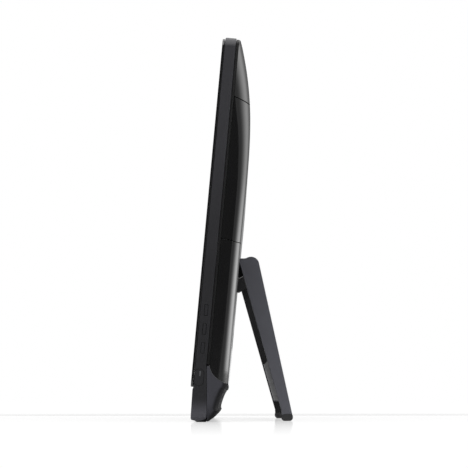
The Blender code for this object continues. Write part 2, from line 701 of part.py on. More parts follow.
def buttons(slab):
    """Three slim caps that press in through the frame's side, and the pill-shaped power button below them."""
    outside = HALF_WIDTH - 0.0001
    flange = (0.2396, HALF_WIDTH - FRAME_WALL - GAP)
    for name, height in BUTTON_HEIGHTS.items():
        low = (BUTTON_DEPTH - BUTTON_HALF[0], height - BUTTON_HALF[1])
        high = (BUTTON_DEPTH + BUTTON_HALF[0], height + BUTTON_HALF[1])
        cap = prism("cap", rounded_rectangle(low, high, 0.0012, 4), 0.2400, outside)
        lip_low = (flange[0], low[0] - 0.0012, low[1] - 0.0012)
        lip = box("lip", lip_low, (flange[1], high[0] + 0.0010, high[1] + 0.0012))
        finish(join(cap, lip), name, "frame", slab, (outside, BUTTON_DEPTH, height))

    cap = prism("cap", power_outline(0.0), 0.2400, outside)
    lip = box("lip", (flange[0], 0.0030, POWER_HEIGHT - 0.0076), (flange[1], 0.0106, POWER_HEIGHT + 0.0098))
    y, z = POWER_DEPTH + 0.0007, POWER_HEIGHT + 0.0037
    hole = box("hole", (0.230, y - 0.0008, z - 0.0025), (0.250, y + 0.0008, z + 0.0025))
    finish(cut(join(cap, lip), hole), "power_button", "frame", slab, (outside, POWER_DEPTH, POWER_HEIGHT))
    pipe = box("pipe", (0.2402, y - 0.0005, z - 0.0022), (outside, y + 0.0005, z + 0.0022))
    finish(pipe, "power_light", "light", slab, (outside, POWER_DEPTH, POWER_HEIGHT))

    board = box("board", (0.2335, 0.0042, 0.0020), (0.2347, 0.0106, 0.0800))
    for height in [POWER_HEIGHT] + list(BUTTON_HEIGHTS.values()):
        join(board, box("switch", (0.2340, 0.0055, height - 0.0022), (0.2380, 0.0100, height + 0.0022)))
    finish(board, "button_board", "board", slab)


# ---------------------------------------------------------------- stand

def hinge_parts(slab):
    """A bracket ear on each side, bolted to the chassis plate, that carries the stand's pin."""
    axis = slab_point(HINGE_Y, HINGE_Z)
    ear = 0.0052
    outline = [(0.0125, 0.104), (0.0140, 0.104), (0.0170, 0.1125), (0.0366, 0.1128)]
    outline += circle(axis, ear, 10, math.radians(-40), math.radians(130))
    outline += [(0.0170, axis[1] + ear), (0.0140, axis[1] + ear + 0.003), (0.0140, 0.160), (0.0125, 0.160)]
    for side, label in ((-1, "left"), (1, "right")):
        low, high = sorted((side * 0.1208, side * (ARM_INNER - GAP)))
        bracket = prism("bracket", outline, low, high)
        cut(bracket, cylinder("bore", axis, PIN_HOLE_RADIUS, -0.2, 0.2, "X", 32))
        finish(bracket, f"hinge_bracket_{label}", "stand", slab)


def arm_outline():
    """The arm's side view: a barrel round the pin, then a leg that narrows towards the floor."""
    points = [ARM_FRONT_HIGH, (-0.0035, 0.1604), (0.0020, 0.1604)]
    points += circle((HINGE_Y, HINGE_Z), HINGE_BARREL, 12, math.radians(122), ARM_TAPER - math.radians(122))
    return points + shoe_line() + [ARM_FRONT_LOW]


def shoe_line(drop=0.0):
    """The slightly arched line where the arm meets its rubber shoe."""
    return [(y, z - drop) for y, z in bend((0.0487, 0.0064), (0.0430, 0.0074), (0.0384, 0.0060), 4)]


def stand(hinge):
    """Two arms and a crossbar in one casting, with a rubber shoe on each arm and a pin at each hinge."""
    outline = arm_outline()
    frame = prism("arm", outline, -ARM_OUTER, -ARM_INNER)
    join(frame, prism("arm", outline, ARM_INNER, ARM_OUTER))
    slope = (ARM_FRONT_LOW[0] - ARM_FRONT_HIGH[0]) / (ARM_FRONT_HIGH[1] - ARM_FRONT_LOW[1])
    front_low = ARM_FRONT_HIGH[0] + (ARM_FRONT_HIGH[1] - CROSSBAR_LOW) * slope + CROSSBAR_INSET
    front_high = ARM_FRONT_HIGH[0] + (ARM_FRONT_HIGH[1] - CROSSBAR_HIGH) * slope + CROSSBAR_INSET
    bar = [
        (front_low, CROSSBAR_LOW), (front_high, CROSSBAR_HIGH),
        (front_high + CROSSBAR_DEPTH, CROSSBAR_HIGH + 0.002),
        (front_low + CROSSBAR_DEPTH, CROSSBAR_LOW + 0.002),
    ]
    join(frame, prism("bar", bar, -ARM_INNER - 0.002, ARM_INNER + 0.002))
    pivot = (0.0, HINGE_Y, HINGE_Z)
    for side, label in ((-1, "left"), (1, "right")):
        low, high = sorted((side * 0.120, side * (ARM_OUTER - 0.0015)))
        cut(frame, cylinder("bore", (HINGE_Y, HINGE_Z), PIN_HOLE_RADIUS, low, high, "X", 32))
        low, high = sorted((side * 0.1212, side * (ARM_OUTER - 0.002)))
        pin = cylinder("pin", (HINGE_Y, HINGE_Z), PIN_RADIUS, low, high, "X", 32)
        finish(pin, f"hinge_pin_{label}", "steel", hinge, pivot)

        low, high = sorted((side * (ARM_INNER + 0.0002), side * (ARM_OUTER - 0.0002)))
        shoe = [(0.0402, 0.0), (0.0467, 0.0), (0.0482, 0.0007), (0.0491, 0.0021), (0.0494, 0.0040)]
        shoe += [(0.0490, 0.0058)] + shoe_line(GAP) + [(0.0380, 0.0044), (0.0381, 0.0028), (0.0388, 0.0011)]
        finish(prism("shoe", shoe, low, high), f"stand_foot_{label}", "rubber", hinge, pivot)
    finish(frame, "stand_frame", "stand", hinge, pivot)


def empty(name, location, tilt=0.0):
    made = bpy.data.objects.new(name, None)
    made.location = location
    made.rotation_euler = (tilt, 0.0, 0.0)
    bpy.context.scene.collection.objects.link(made)
    return made


def rebase(parent, pieces_before):
    """Turns the places of a parent's new pieces into places under it."""
    for obj in set(bpy.data.objects) - pieces_before:
        if obj.parent == parent:
            obj.location -= parent.location


def main():
    clear_scene()
    slab = empty("slab_frame", (0.0, GLASS_FOOT_Y, GLASS_FOOT_Z), -LEAN)
    front_glass(slab)
    front_frame(slab)
    speaker_parts(slab)
    foot_pads(slab)
    rear_cover_upper(slab)
    rear_cover_middle(slab)
    rear_cover_lower(slab)
    cover_screws(slab)
    base_cover()
    chassis(slab)
    system_board(slab)
    heat_pipe(slab)
    heat_sink(slab)
    fan(slab)
    hard_drive(slab)
    back_connectors(slab)
    side_connectors(slab)
    buttons(slab)
    hinge_parts(slab)
    hinge = empty("stand_hinge_axis", (0.0, HINGE_Y, HINGE_Z))
    before = set(bpy.data.objects)
    stand(hinge)
    rebase(hinge, before)


main()
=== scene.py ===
"""Looks of the all-in-one computer: finely bevelled skins, procedural finishes and soft light.

Metres, +Z up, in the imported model's frame. The slab's pieces are made upright in the slab's own frame
(x across, y into the depth from the glass, z up the panel), then leaned back about the glass's foot.
"""
import json
import math

import bmesh
import bpy
from mathutils import Matrix, Vector


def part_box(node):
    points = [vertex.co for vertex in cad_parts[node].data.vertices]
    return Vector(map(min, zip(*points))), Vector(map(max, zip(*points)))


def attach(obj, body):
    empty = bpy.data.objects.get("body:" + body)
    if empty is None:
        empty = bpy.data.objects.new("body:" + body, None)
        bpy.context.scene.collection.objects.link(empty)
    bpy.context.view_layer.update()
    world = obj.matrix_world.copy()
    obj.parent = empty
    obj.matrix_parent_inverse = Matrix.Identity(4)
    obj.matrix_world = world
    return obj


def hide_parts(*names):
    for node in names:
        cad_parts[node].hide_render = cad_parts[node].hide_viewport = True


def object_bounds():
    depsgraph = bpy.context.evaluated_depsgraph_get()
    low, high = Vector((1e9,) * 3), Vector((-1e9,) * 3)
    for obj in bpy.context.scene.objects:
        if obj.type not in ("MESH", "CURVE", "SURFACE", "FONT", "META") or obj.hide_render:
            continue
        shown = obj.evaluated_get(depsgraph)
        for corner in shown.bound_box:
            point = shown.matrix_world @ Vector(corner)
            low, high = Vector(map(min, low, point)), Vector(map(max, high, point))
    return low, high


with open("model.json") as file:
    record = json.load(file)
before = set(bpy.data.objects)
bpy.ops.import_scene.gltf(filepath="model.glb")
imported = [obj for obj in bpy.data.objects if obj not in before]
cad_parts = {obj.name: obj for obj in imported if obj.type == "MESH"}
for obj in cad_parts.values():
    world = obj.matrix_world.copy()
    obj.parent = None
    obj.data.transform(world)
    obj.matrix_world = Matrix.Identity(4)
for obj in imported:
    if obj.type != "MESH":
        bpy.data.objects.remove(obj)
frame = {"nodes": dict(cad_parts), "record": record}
cad_low, cad_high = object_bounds()
SLOTS = {row["node"]: row["material_slot"] for row in frame["record"]["subparts"]}

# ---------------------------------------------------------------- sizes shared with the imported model

HALF_WIDTH = 0.2445
GLASS_HEIGHT = 0.3314
GLASS_THICKNESS = 0.0023
CORNER_RADIUS = 0.008
FRAME_TOP = 0.3332
FRAME_CORNER = 0.0095
FRAME_FRONT = 0.0026
FRAME_BACK = 0.0129
FRAME_WALL = 0.0028
COVER_FRONT = 0.0159
COVER_DEPTH = 0.0348
COVER_TOP = 0.3320
COVER_LEAST = 0.0006
COVER_ROUND = 0.0108
ROUND_START = 0.160
ROUND_GROWTH = 0.58
COVER_WALL = 0.0022
BULGE = 0.0005
BULGE_START = 0.140
BULGE_END = 0.195
TAPER_START = 0.190
TAPER_SCALE = 4.16
TAPER_POWER = 2.78
GAP = 0.0003
SIDES = ((-1, "left"), (1, "right"))

LEAN = math.radians(5.23)
GLASS_FOOT_Y = -0.0494
GLASS_FOOT_Z = 0.033

SEAM_Y = -0.0344
CHIN_LOW = (-0.0488, 0.0022)
CHIN_DIP = (-0.0425, -0.0004)
CHIN_HIGH = (-0.0350, 0.0032)
CHIN_BOTTOM = -0.0312
CHIN_CORNER = 0.0100
CHIN_BACK = [(SEAM_Y, 0.0484), (SEAM_Y, 0.0060)]
CHIN_FACE = [(-0.0494, 0.0034), (-0.0476, 0.0305), (-0.0470, 0.0318)]
CHIN_HOLLOW = [(-0.0462, 0.0072), (-0.0446, 0.0285), (-0.0200, 0.0285), (-0.0200, 0.0072)]
CHIN_STEPS = 24
SPEAKER_ENDS = (0.070, 0.190)
PAD_ENDS = (0.090, 0.232)
PAD_SOLE = [(-0.0436, 0.0), (-0.0354, 0.0), (-0.0350, 0.0006)]

HINGE_Y = 0.0083
HINGE_Z = 0.1540
HINGE_BARREL = 0.0081
ARM_TAPER = math.radians(12.35)
ARM_INNER = 0.133
ARM_OUTER = 0.146
ARM_FRONT_HIGH = (-0.0037, 0.1586)
ARM_FRONT_LOW = (0.0382, 0.0100)
CROSSBAR_LOW = 0.020
CROSSBAR_HIGH = 0.060
CROSSBAR_DEPTH = 0.008
CROSSBAR_INSET = 0.0010
PIN_HOLE_RADIUS = 0.0026
PIN_HOLE_START = 0.120
SHOE_TOP = ((0.0487, 0.0064), (0.0430, 0.0074), (0.0384, 0.0060))
SHOE_BACK = [
    (0.0402, 0.0), (0.0467, 0.0), (0.0482, 0.0007), (0.0491, 0.0021), (0.0494, 0.0040), (0.0490, 0.0059),
]
SHOE_FRONT = [(0.0380, 0.0044), (0.0381, 0.0028), (0.0388, 0.0011)]

BUTTON_DEPTH = 0.008
BUTTON_SLOT_HALF = (0.0018, 0.0054)
BUTTON_HEIGHTS = {
    "display_button": 0.0724,
    "brightness_up_button": 0.0547,
    "brightness_down_button": 0.0370,
}
POWER_HEIGHT = 0.0093
POWER_DEPTH = 0.00705
POWER_HALF = (0.0043, 0.0078)
LENS_OFFSET = (0.0007, 0.0037)      # the power light's place on its button, half size and two ends
LENS_HALF = (0.00072, 0.0024)
LENS_ENDS = (0.2402, HALF_WIDTH - 0.00008)
NEAR_SIDE = (0.235, 0.250)          # from inside the frame's near wall to outside it
FAR_SIDE = (-0.250, -0.235)
SIDE_SOCKETS = (                    # low, high, front and back
    (0.0600, 0.0740, 0.0042, 0.0108),
    (0.0840, 0.0980, 0.0042, 0.0108),
    (0.1080, 0.1150, 0.0040, 0.0108),
    (0.1270, 0.1540, 0.0058, 0.0098),
)

UPPER_SEAM = [(0.0100, 0.2780), (0.0450, 0.2675)]
MIDDLE_SEAM = [(0.0100, 0.1410), (0.0224, 0.1401), (0.0302, 0.1386), (0.0450, 0.1380)]
SCREW_X = 0.227
SCREW_HEIGHTS = (0.040, 0.122)
SCREW_SINK = 0.0015
SCREW_SINK_RADIUS = 0.0036
SCREW_HOLE_RADIUS = 0.0017
COVER_BACK = (0.025, 0.045)         # from inside the cover's back to outside it
VENTS = 20
VENT_PITCH = 0.0080
VENT_HALF = 0.0015
VENT_LOW = 0.232
VENT_HIGH = 0.252
HINGE_WINDOW_START = 0.120
HINGE_WINDOW_LOW = 0.1115
HINGE_WINDOW_HIGH = 0.1345
LOCK_SLOT = ((-0.1135, 0.0500), (-0.1065, 0.0530))
SWEEP_FRONT = (0.0159, 0.0213)
SWEEP_PULL = (0.0180, 0.0100)
SWEEP_BACK = (0.0331, 0.0060)
CONNECTOR_BAY = ((-0.098, 0.0440), (0.072, 0.0640))
BELLY_LOWER = (
    (-0.0336, 0.0006), (-0.0323, 0.0009), (-0.0312, 0.0018), (-0.0297, 0.0028), (-0.0279, 0.0040),
    (-0.0261, 0.0056), (-0.0247, 0.0072), (-0.0235, 0.0090), (-0.0227, 0.0106),
)
BELLY_UPPER = (
    (-0.0235, 0.0122), (-0.0232, 0.0150), (-0.0223, 0.0185), (-0.0209, 0.0225), (-0.0191, 0.0270),
    (-0.0166, 0.0316), (-0.0144, 0.0350), (-0.0124, 0.0560),
)
BELLY_ROUND = 0.0075
BELLY_FLOOR = 0.0058
BELLY_FRONT_TOP = [(0.0100, 0.0206), (0.0135, 0.0206)]

# ---------------------------------------------------------------- sizes used in the visual model alone

SEAM_GAP = 0.0010       # the seams are drawn wider than they are packed, with rounder edges
SEAM_EDGE = 0.0006
SHOE_GAP = 0.00005
RIM_RADIUS = 0.00042    # the bead along the belly's upper edge: a real round that catches light, with a paler colour that paints more of its highlight
SKIRTS = (("band_skirt", 0.3270, 0.0164), ("band_skirt_low", 0.2820, 0.0215))
SKIRT_HALF = 0.2385
SKIRT_FOOT = 0.0230
SKIRT_FRONT = 0.0150
SKIRT_WALL = 0.0015
SKIRT_CORNER = 0.0040

FLOOR_MATT = 0.75       # how far from the middle the floor takes shadow, and where it is plain white
FLOOR_WHITE = 1.30
FLOOR_SHADED = 0.17     # the shares of the floor's white that shade and that glow
FLOOR_LIT = 0.76
FLOOR_DIM = 0.50        # how bright the floor is for everything but the camera
FLOOR_WHITENESS = 1.02
FLOOR_SHINE = 0.30      # how mirror-like the floor is at the object, and from where to where that fades
FLOOR_SHINE_START = 0.30
FLOOR_SHINE_END = 1.02
FLOOR_SIDE = 8.0
REFLECTOR_Y = 0.60      # the glow behind the computer: its place, width and strengths low, high and all over
REFLECTOR_X = 0.165
REFLECTOR_SPREAD = 0.235
REFLECTOR_PEAK = 4.7
REFLECTOR_TOP = 2.3
REFLECTOR_BASE = 0.4
REFLECTOR_ENDS = (-1.0, 1.5)
REFLECTOR_HEIGHT = 1.2
STRIP_X = -0.50         # the strip beyond the computer; its fade is low height, high height and their levels
STRIP_HALF = 1.5
STRIP_HEIGHT = 0.40
STRIP_FADE = (0.030, 0.150, 1.05, 0.35)
ROOM_SIDE = 0.45        # what the gloss mirrors at the sides, high up and elsewhere
ROOM_HIGH = 0.55
ROOM_DARK = 0.08
SKY_LOW = 0.25          # what lights the matt surfaces from the horizon, and adds to it from above
SKY_HIGH = 2.0
OVERHEAD = 1.6
KEY = 2.5
CAMERA_PLACE = (1.99665, -0.0109, 0.02033)
CAMERA_TILT = math.radians(5.0741)
CAMERA_YAW = math.radians(-0.0713)
CAMERA_ROLL = math.radians(-0.0363)
CAMERA_LENS = 144.022

EDGE = 0.00035          # the usual broken edge of a moulding
CURVE_STEPS = 28        # points in a quarter turn of a large round

SLAB = Matrix.Translation((0.0, GLASS_FOOT_Y, GLASS_FOOT_Z)) @ Matrix.Rotation(-LEAN, 4, "X")
WORLD = Matrix.Identity(4)


# ---------------------------------------------------------------- finishes

def add(tree, kind, inputs=None, **settings):
    """A new node with its settings and its input values."""
    made = tree.nodes.new(kind)
    for key, value in settings.items():
        setattr(made, key, value)
    for key, value in (inputs or {}).items():
        made.inputs[key].default_value = value
    return made


def grey(value):
    return (value, value, value, 1.0)


def principled(name):
    """A new material, with its node tree and its shader."""
    made = bpy.data.materials.new(name)
    made.use_nodes = True
    return made, made.node_tree, made.node_tree.nodes["Principled BSDF"]


def bare(name):
    """A new material with no shader, its node tree and the input that its surface goes to."""
    made, tree, shader = principled(name)
    tree.nodes.remove(shader)
    return made, tree, tree.nodes["Material Output"].inputs["Surface"]


def place_in(tree):
    return add(tree, "ShaderNodeTexCoord").outputs["Object"]


def parts_of(tree, vector):
    """The X, Y and Z sockets of a vector."""
    made = add(tree, "ShaderNodeSeparateXYZ")
    tree.links.new(vector, made.inputs["Vector"])
    return made.outputs


def noise(tree, where, scale, detail=2.0, roughness=0.5, stretch=None):
    """A noise value between 0 and 1 at a place, with the place stretched first if wanted."""
    if stretch:
        mapping = add(tree, "ShaderNodeMapping", {"Scale": stretch})
        tree.links.new(where, mapping.inputs["Vector"])
        where = mapping.outputs["Vector"]
    made = add(tree, "ShaderNodeTexNoise", {"Scale": scale, "Detail": detail, "Roughness": roughness})
    tree.links.new(where, made.inputs["Vector"])
    return made.outputs["Fac"]


def remap(tree, value, from_low, from_high, to_low, to_high, smooth=False):
    made = add(
        tree, "ShaderNodeMapRange",
        {"From Min": from_low, "From Max": from_high, "To Min": to_low, "To Max": to_high},
        interpolation_type="SMOOTHSTEP" if smooth else "LINEAR",
    )
    tree.links.new(value, made.inputs["Value"])
    return made.outputs["Result"]


def arithmetic(tree, operation, first, second):
    made = add(tree, "ShaderNodeMath", operation=operation)
    for i, value in enumerate((first, second)):
        if isinstance(value, (int, float)):
            made.inputs[i].default_value = value
        else:
            tree.links.new(value, made.inputs[i])
    return made.outputs["Value"]


def mixed(tree, share, first, second, blend="MIX"):
    """Two colours mixed by a share. Each is a colour or a socket."""
    made = add(tree, "ShaderNodeMix", data_type="RGBA", blend_type=blend)
    for key, value in ((0, share), (6, first), (7, second)):
        if isinstance(value, bpy.types.NodeSocket):
            tree.links.new(value, made.inputs[key])
        else:
            made.inputs[key].default_value = value
    return made.outputs[2]


def multiplied(tree, first, second):
    return mixed(tree, 1.0, first, second, "MULTIPLY")


def product(tree, first, second):
    return arithmetic(tree, "MULTIPLY", first, second)


def bumped(tree, shader, height, strength, distance):
    """Gives the shader's surface the relief of a height."""
    bump = add(tree, "ShaderNodeBump", {"Strength": strength, "Distance": distance})
    tree.links.new(height, bump.inputs["Height"])
    tree.links.new(bump.outputs["Normal"], shader.inputs["Normal"])


def finish_of(
    name, colour, rough, vary=0.12, smudge=0.10, grain=(1800.0, 0.00002), flecks=0.10, dust=0.05,
    metallic=0.0, stretch=None, coat=0.0, specular=0.5, tint=None, fade=None, painted_light_and_shade=None,
):
    """A moulded, painted or metal finish.

    vary and smudge are how far colour and roughness wander over a few centimetres. grain is the fine
    texture's scale and height, and flecks is how much it shows in the colour. dust is how much settles on
    upper faces, and stretch draws the grain out into brush lines. fade paints shade by height, as (low
    height, high height, level at the low height, level at the high one). The last argument is a function that
    paints light or shade over the colour at the end.
    """
    made, tree, shader = principled(name)
    shader.inputs["Metallic"].default_value = metallic
    shader.inputs["Specular IOR Level"].default_value = specular
    shader.inputs["Coat Weight"].default_value = coat
    shader.inputs["Coat Roughness"].default_value = 0.06
    place = place_in(tree)
    where = parts_of(tree, place)
    facing = parts_of(tree, add(tree, "ShaderNodeNewGeometry").outputs["Normal"])

    broad = noise(tree, place, 21.0, 4.0, 0.6)
    fine = noise(tree, place, grain[0], 3.0, 0.6, stretch)
    patch = remap(tree, broad, 0.25, 0.75, 1.0 - vary, 1.0 + vary)
    fleck = remap(tree, fine, 0.3, 0.7, 1.0 - flecks, 1.0 + flecks)
    base = multiplied(tree, (*colour, 1.0), product(tree, patch, fleck))
    if tint:
        clouds = remap(tree, noise(tree, place, 7.0, 2.0), 0.35, 0.65, 0.0, 0.5)
        base = mixed(tree, clouds, base, (*tint, 1.0))
    # fade: painted shade that changes the colour with height
    if fade:
        base = multiplied(tree, base, remap(tree, where["Z"], *fade, True))
    # the last argument: painted light or shade over the colour
    if painted_light_and_shade:
        base = painted_light_and_shade(tree, base, where, facing)

    settled = remap(tree, facing["Z"], 0.35, 1.0, 0.0, dust, True)
    lint = remap(tree, noise(tree, place, 340.0, 5.0, 0.7), 0.45, 0.75, 0.15, 1.0)
    settled = product(tree, settled, lint)
    base = mixed(tree, settled, base, (0.36, 0.35, 0.33, 1.0))
    tree.links.new(base, shader.inputs["Base Color"])

    wiped = noise(tree, place, 46.0, 5.0, 0.65)
    gloss = remap(tree, wiped, 0.3, 0.72, rough * (1.0 - smudge), rough * (1.0 + smudge))
    gloss = arithmetic(tree, "ADD", gloss, product(tree, settled, 0.5))
    tree.links.new(gloss, shader.inputs["Roughness"])
    bumped(tree, shader, fine, 0.6, grain[1])
    return made


def painted_inner_shade(tree, base, where, facing):
    """Painted shade: the inner faces of the stand's arms, above and below the crossbar, are painted near
    black for the shade between the arms.
    """
    across = arithmetic(tree, "ABSOLUTE", where["X"], 0.0)
    inner = remap(tree, across, ARM_INNER + 0.0002, ARM_INNER + 0.0004, 1.0, 0.0)
    above = remap(tree, where["Z"], CROSSBAR_HIGH + 0.0010, CROSSBAR_HIGH + 0.0014, 0.0, 1.0)
    below = remap(tree, where["Z"], CROSSBAR_LOW - 0.0014, CROSSBAR_LOW - 0.0010, 1.0, 0.0)
    mask = product(tree, inner, arithmetic(tree, "MAXIMUM", above, below))
    return mixed(tree, mask, base, (0.009, 0.009, 0.010, 1.0))


def painted_floor_bounce(tree, base, where, facing):
    """Painted light: the chin is made up to six times paler towards the floor, for light bounced up off the
    floor.
    """
    return multiplied(tree, base, remap(tree, where["Z"], 0.001, 0.024, 6.2, 1.0, True))


def painted_back_shade(tree, base, where, facing):
    """Painted shade: the belly is painted darker where its faces turn to the back, down to an eighth of its
    colour.
    """
    return multiplied(tree, base, remap(tree, facing["Y"], 0.05, 0.55, 1.0, 0.12, True))


def glass_finish():
    """Black display glass: the switched-off picture area shows as a faintly lighter field."""
    made, tree, shader = principled("display_glass")
    shader.inputs["Coat Weight"].default_value = 0.25
    shader.inputs["Coat Roughness"].default_value = 0.03
    place = place_in(tree)
    where = parts_of(tree, place)
    low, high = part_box("lcd_panel")
    side, bottom, top = high.x - 0.008, low.z + 0.012, high.z - 0.009
    soft = 0.0004
    across = arithmetic(tree, "ABSOLUTE", where["X"], 0.0)
    inside = remap(tree, across, side - soft, side + soft, 1.0, 0.0)
    above = remap(tree, where["Z"], bottom - soft, bottom + soft, 0.0, 1.0)
    below = remap(tree, where["Z"], top - soft, top + soft, 1.0, 0.0)
    picture = product(tree, inside, product(tree, above, below))
    mottle = remap(tree, noise(tree, place, 14.0, 3.0), 0.3, 0.7, 0.85, 1.15)
    border = multiplied(tree, (0.0045, 0.0045, 0.0050, 1.0), mottle)
    field = multiplied(tree, (0.0120, 0.0125, 0.0140, 1.0), mottle)
    tree.links.new(mixed(tree, picture, border, field), shader.inputs["Base Color"])
    smear = noise(tree, place, 38.0, 6.0, 0.7)
    gloss = remap(tree, smear, 0.35, 0.70, 0.035, 0.085)
    gloss = arithmetic(tree, "ADD", gloss, product(tree, picture, 0.02))
    tree.links.new(gloss, shader.inputs["Roughness"])
    bumped(tree, shader, noise(tree, place, 90.0, 2.0), 0.15, 0.00001)
    return made


def board_finish():
    """A circuit board: solder mask over fine tracks, with rows of tinned pads."""
    made, tree, shader = principled("circuit_board")
    place = place_in(tree)
    turned = add(tree, "ShaderNodeMapping", {"Rotation": (math.pi / 2, 0.0, 0.0)})
    tree.links.new(place, turned.inputs["Vector"])
    tracks = add(
        tree, "ShaderNodeTexBrick",
        {"Scale": 90.0, "Mortar Size": 0.035, "Brick Width": 0.9, "Row Height": 0.18, "Bias": 0.0,
         "Color1": (0.010, 0.060, 0.030, 1.0), "Color2": (0.014, 0.078, 0.040, 1.0),
         "Mortar": (0.05, 0.17, 0.08, 1.0)},
    )
    tree.links.new(turned.outputs["Vector"], tracks.inputs["Vector"])
    cells = add(tree, "ShaderNodeTexVoronoi", {"Scale": 300.0, "Randomness": 0.15}, feature="F1")
    tree.links.new(turned.outputs["Vector"], cells.inputs["Vector"])
    pads = remap(tree, cells.outputs["Distance"], 0.14, 0.18, 1.0, 0.0)
    rows = remap(tree, noise(tree, place, 60.0, 1.0), 0.54, 0.58, 0.0, 1.0)
    pads = product(tree, pads, rows)
    base = mixed(tree, pads, tracks.outputs["Color"], (0.62, 0.60, 0.52, 1.0))
    tree.links.new(base, shader.inputs["Base Color"])
    tree.links.new(pads, shader.inputs["Metallic"])
    gloss = remap(tree, noise(tree, place, 55.0, 4.0), 0.3, 0.7, 0.30, 0.48)
    tree.links.new(gloss, shader.inputs["Roughness"])
    bumped(tree, shader, tracks.outputs["Fac"], 0.5, 0.00004)
    return made


FINISHES = {
    "glass": glass_finish(),
    # frame: painted shade darkens it towards the bottom (fade), and painted light bounced off the floor
    # brightens the chin's foot
    "frame": finish_of("charcoal_moulding", (0.0240, 0.0236, 0.0282), 0.46, grain=(2400.0, 0.00003),
                       flecks=0.22, specular=0.40, fade=(0.10, 0.33, 0.55, 1.0), painted_light_and_shade=painted_floor_bounce),
    "cover": finish_of("piano_black", (0.0050, 0.0050, 0.0052), 0.11, vary=0.08, smudge=0.30,
                       grain=(420.0, 0.000003), flecks=0.05, dust=0.03, coat=0.5),
    "band": finish_of("black_band", (0.0060, 0.0060, 0.0065), 0.50, dust=0.0),
    # stand: painted shade on the inner faces of the arms
    "stand": finish_of("satin_grey_paint", (0.100, 0.101, 0.117), 0.48, grain=(3200.0, 0.00002), flecks=0.16,
                       specular=0.30, painted_light_and_shade=painted_inner_shade),
    "rubber": finish_of("black_rubber", (0.026, 0.026, 0.027), 0.78, vary=0.2, grain=(1500.0, 0.00006),
                        flecks=0.3, dust=0.12),
    "steel": finish_of("zinc_steel", (0.52, 0.53, 0.54), 0.34, vary=0.06, smudge=0.25, grain=(700.0, 0.00001),
                       flecks=0.05, metallic=1.0, stretch=(1.0, 1.0, 0.05)),
    "copper": finish_of("copper", (0.72, 0.36, 0.20), 0.30, vary=0.12, smudge=0.3, metallic=1.0,
                        tint=(0.50, 0.22, 0.12), stretch=(0.06, 1.0, 1.0)),
    "aluminium": finish_of("aluminium", (0.68, 0.69, 0.70), 0.36, vary=0.05, smudge=0.2, metallic=1.0,
                           stretch=(0.05, 1.0, 1.0)),
    "board": board_finish(),
    "plastic": finish_of("black_plastic", (0.014, 0.014, 0.015), 0.52, grain=(2000.0, 0.00004), flecks=0.2),
    "panel": finish_of("panel_shell", (0.020, 0.021, 0.024), 0.35, grain=(900.0, 0.00001)),
    "light": finish_of("smoked_lens", (0.090, 0.092, 0.098), 0.24, vary=0.1, grain=(900.0, 0.000005),
                       flecks=0.05),
}
# belly: painted shade darkens it towards its foot (fade) and on faces turned to the back
BELLY_FINISH = finish_of("charcoal_belly", (0.0520, 0.0520, 0.0620), 0.62, grain=(2400.0, 0.00003),
                         flecks=0.22, specular=0.15, fade=(0.002, 0.020, 0.45, 1.0), painted_light_and_shade=painted_back_shade)
# bead: a real round that catches light, with a paler colour that paints more of its highlight
RIM_HIGHLIGHT_FINISH = finish_of("satin_rim", (0.075, 0.075, 0.080), 0.32, vary=0.1, grain=(2000.0, 0.00001),
                       flecks=0.1)
SCREW_FINISH = finish_of("blackened_screw", (0.050, 0.050, 0.055), 0.36, vary=0.15, smudge=0.3, metallic=0.9,
                         grain=(1500.0, 0.00002), flecks=0.1)


# ---------------------------------------------------------------- shapes

def object_of(name, shape):
    bmesh.ops.recalc_face_normals(shape, faces=shape.faces)
    mesh = bpy.data.meshes.new(name)
    shape.to_mesh(mesh)
    shape.free()
    obj = bpy.data.objects.new(name, mesh)
    bpy.context.scene.collection.objects.link(obj)
    return obj


def prism(name, outline, low, high, axis="X"):
    """A flat outline pushed from low to high. Along X it is (y, z), along Y (x, z), along Z (x, y)."""
    place = {
        "X": lambda a, b, level: (level, a, b),
        "Y": lambda a, b, level: (a, level, b),
        "Z": lambda a, b, level: (a, b, level),
    }[axis]
    shape = bmesh.new()
    rings = [[shape.verts.new(place(a, b, level)) for a, b in outline] for level in (low, high)]
    shape.faces.new(rings[0])
    shape.faces.new(rings[1])
    for i in range(len(outline)):
        j = (i + 1) % len(outline)
        shape.faces.new((rings[0][i], rings[0][j], rings[1][j], rings[1][i]))
    return object_of(name, shape)


def box(name, low, high):
    outline = ((low[0], low[1]), (high[0], low[1]), (high[0], high[1]), (low[0], high[1]))
    return prism(name, outline, low[2], high[2], "Z")


def circle(centre, radius, segments, start=0.0, sweep=math.tau):
    steps = segments if sweep == math.tau else segments + 1
    angles = [start + sweep * i / segments for i in range(steps)]
    return [(centre[0] + radius * math.cos(a), centre[1] + radius * math.sin(a)) for a in angles]


def cylinder(name, centre, radius, low, high, axis="Y", segments=48):
    return prism(name, circle(centre, radius, segments), low, high, axis)


def rounded_rectangle(low, high, radius, segments=16):
    quarter = math.pi / 2
    corners = (
        (high[0] - radius, high[1] - radius, 0.0),
        (low[0] + radius, high[1] - radius, quarter),
        (low[0] + radius, low[1] + radius, 2 * quarter),
        (high[0] - radius, low[1] + radius, 3 * quarter),
    )
    points = []
    for x, y, start in corners:
        points += circle((x, y), radius, segments, start, quarter)
    return points


def ends_on(side, ends):
    """Two distances from the middle, as the low and the high x on one side of it."""
    return sorted((side * ends[0], side * ends[1]))


def spread(low, high, steps):
    return [low + (high - low) * i / steps for i in range(steps + 1)]


def bend(start, control, end, steps=CURVE_STEPS):
    """A quadratic curve from start to end, pulled towards control."""
    points = []
    for i in range(steps + 1):
        t = i / steps
        points.append(
            tuple((1 - t) ** 2 * a + 2 * t * (1 - t) * b + t * t * c for a, b, c in zip(start, control, end))
        )
    return points


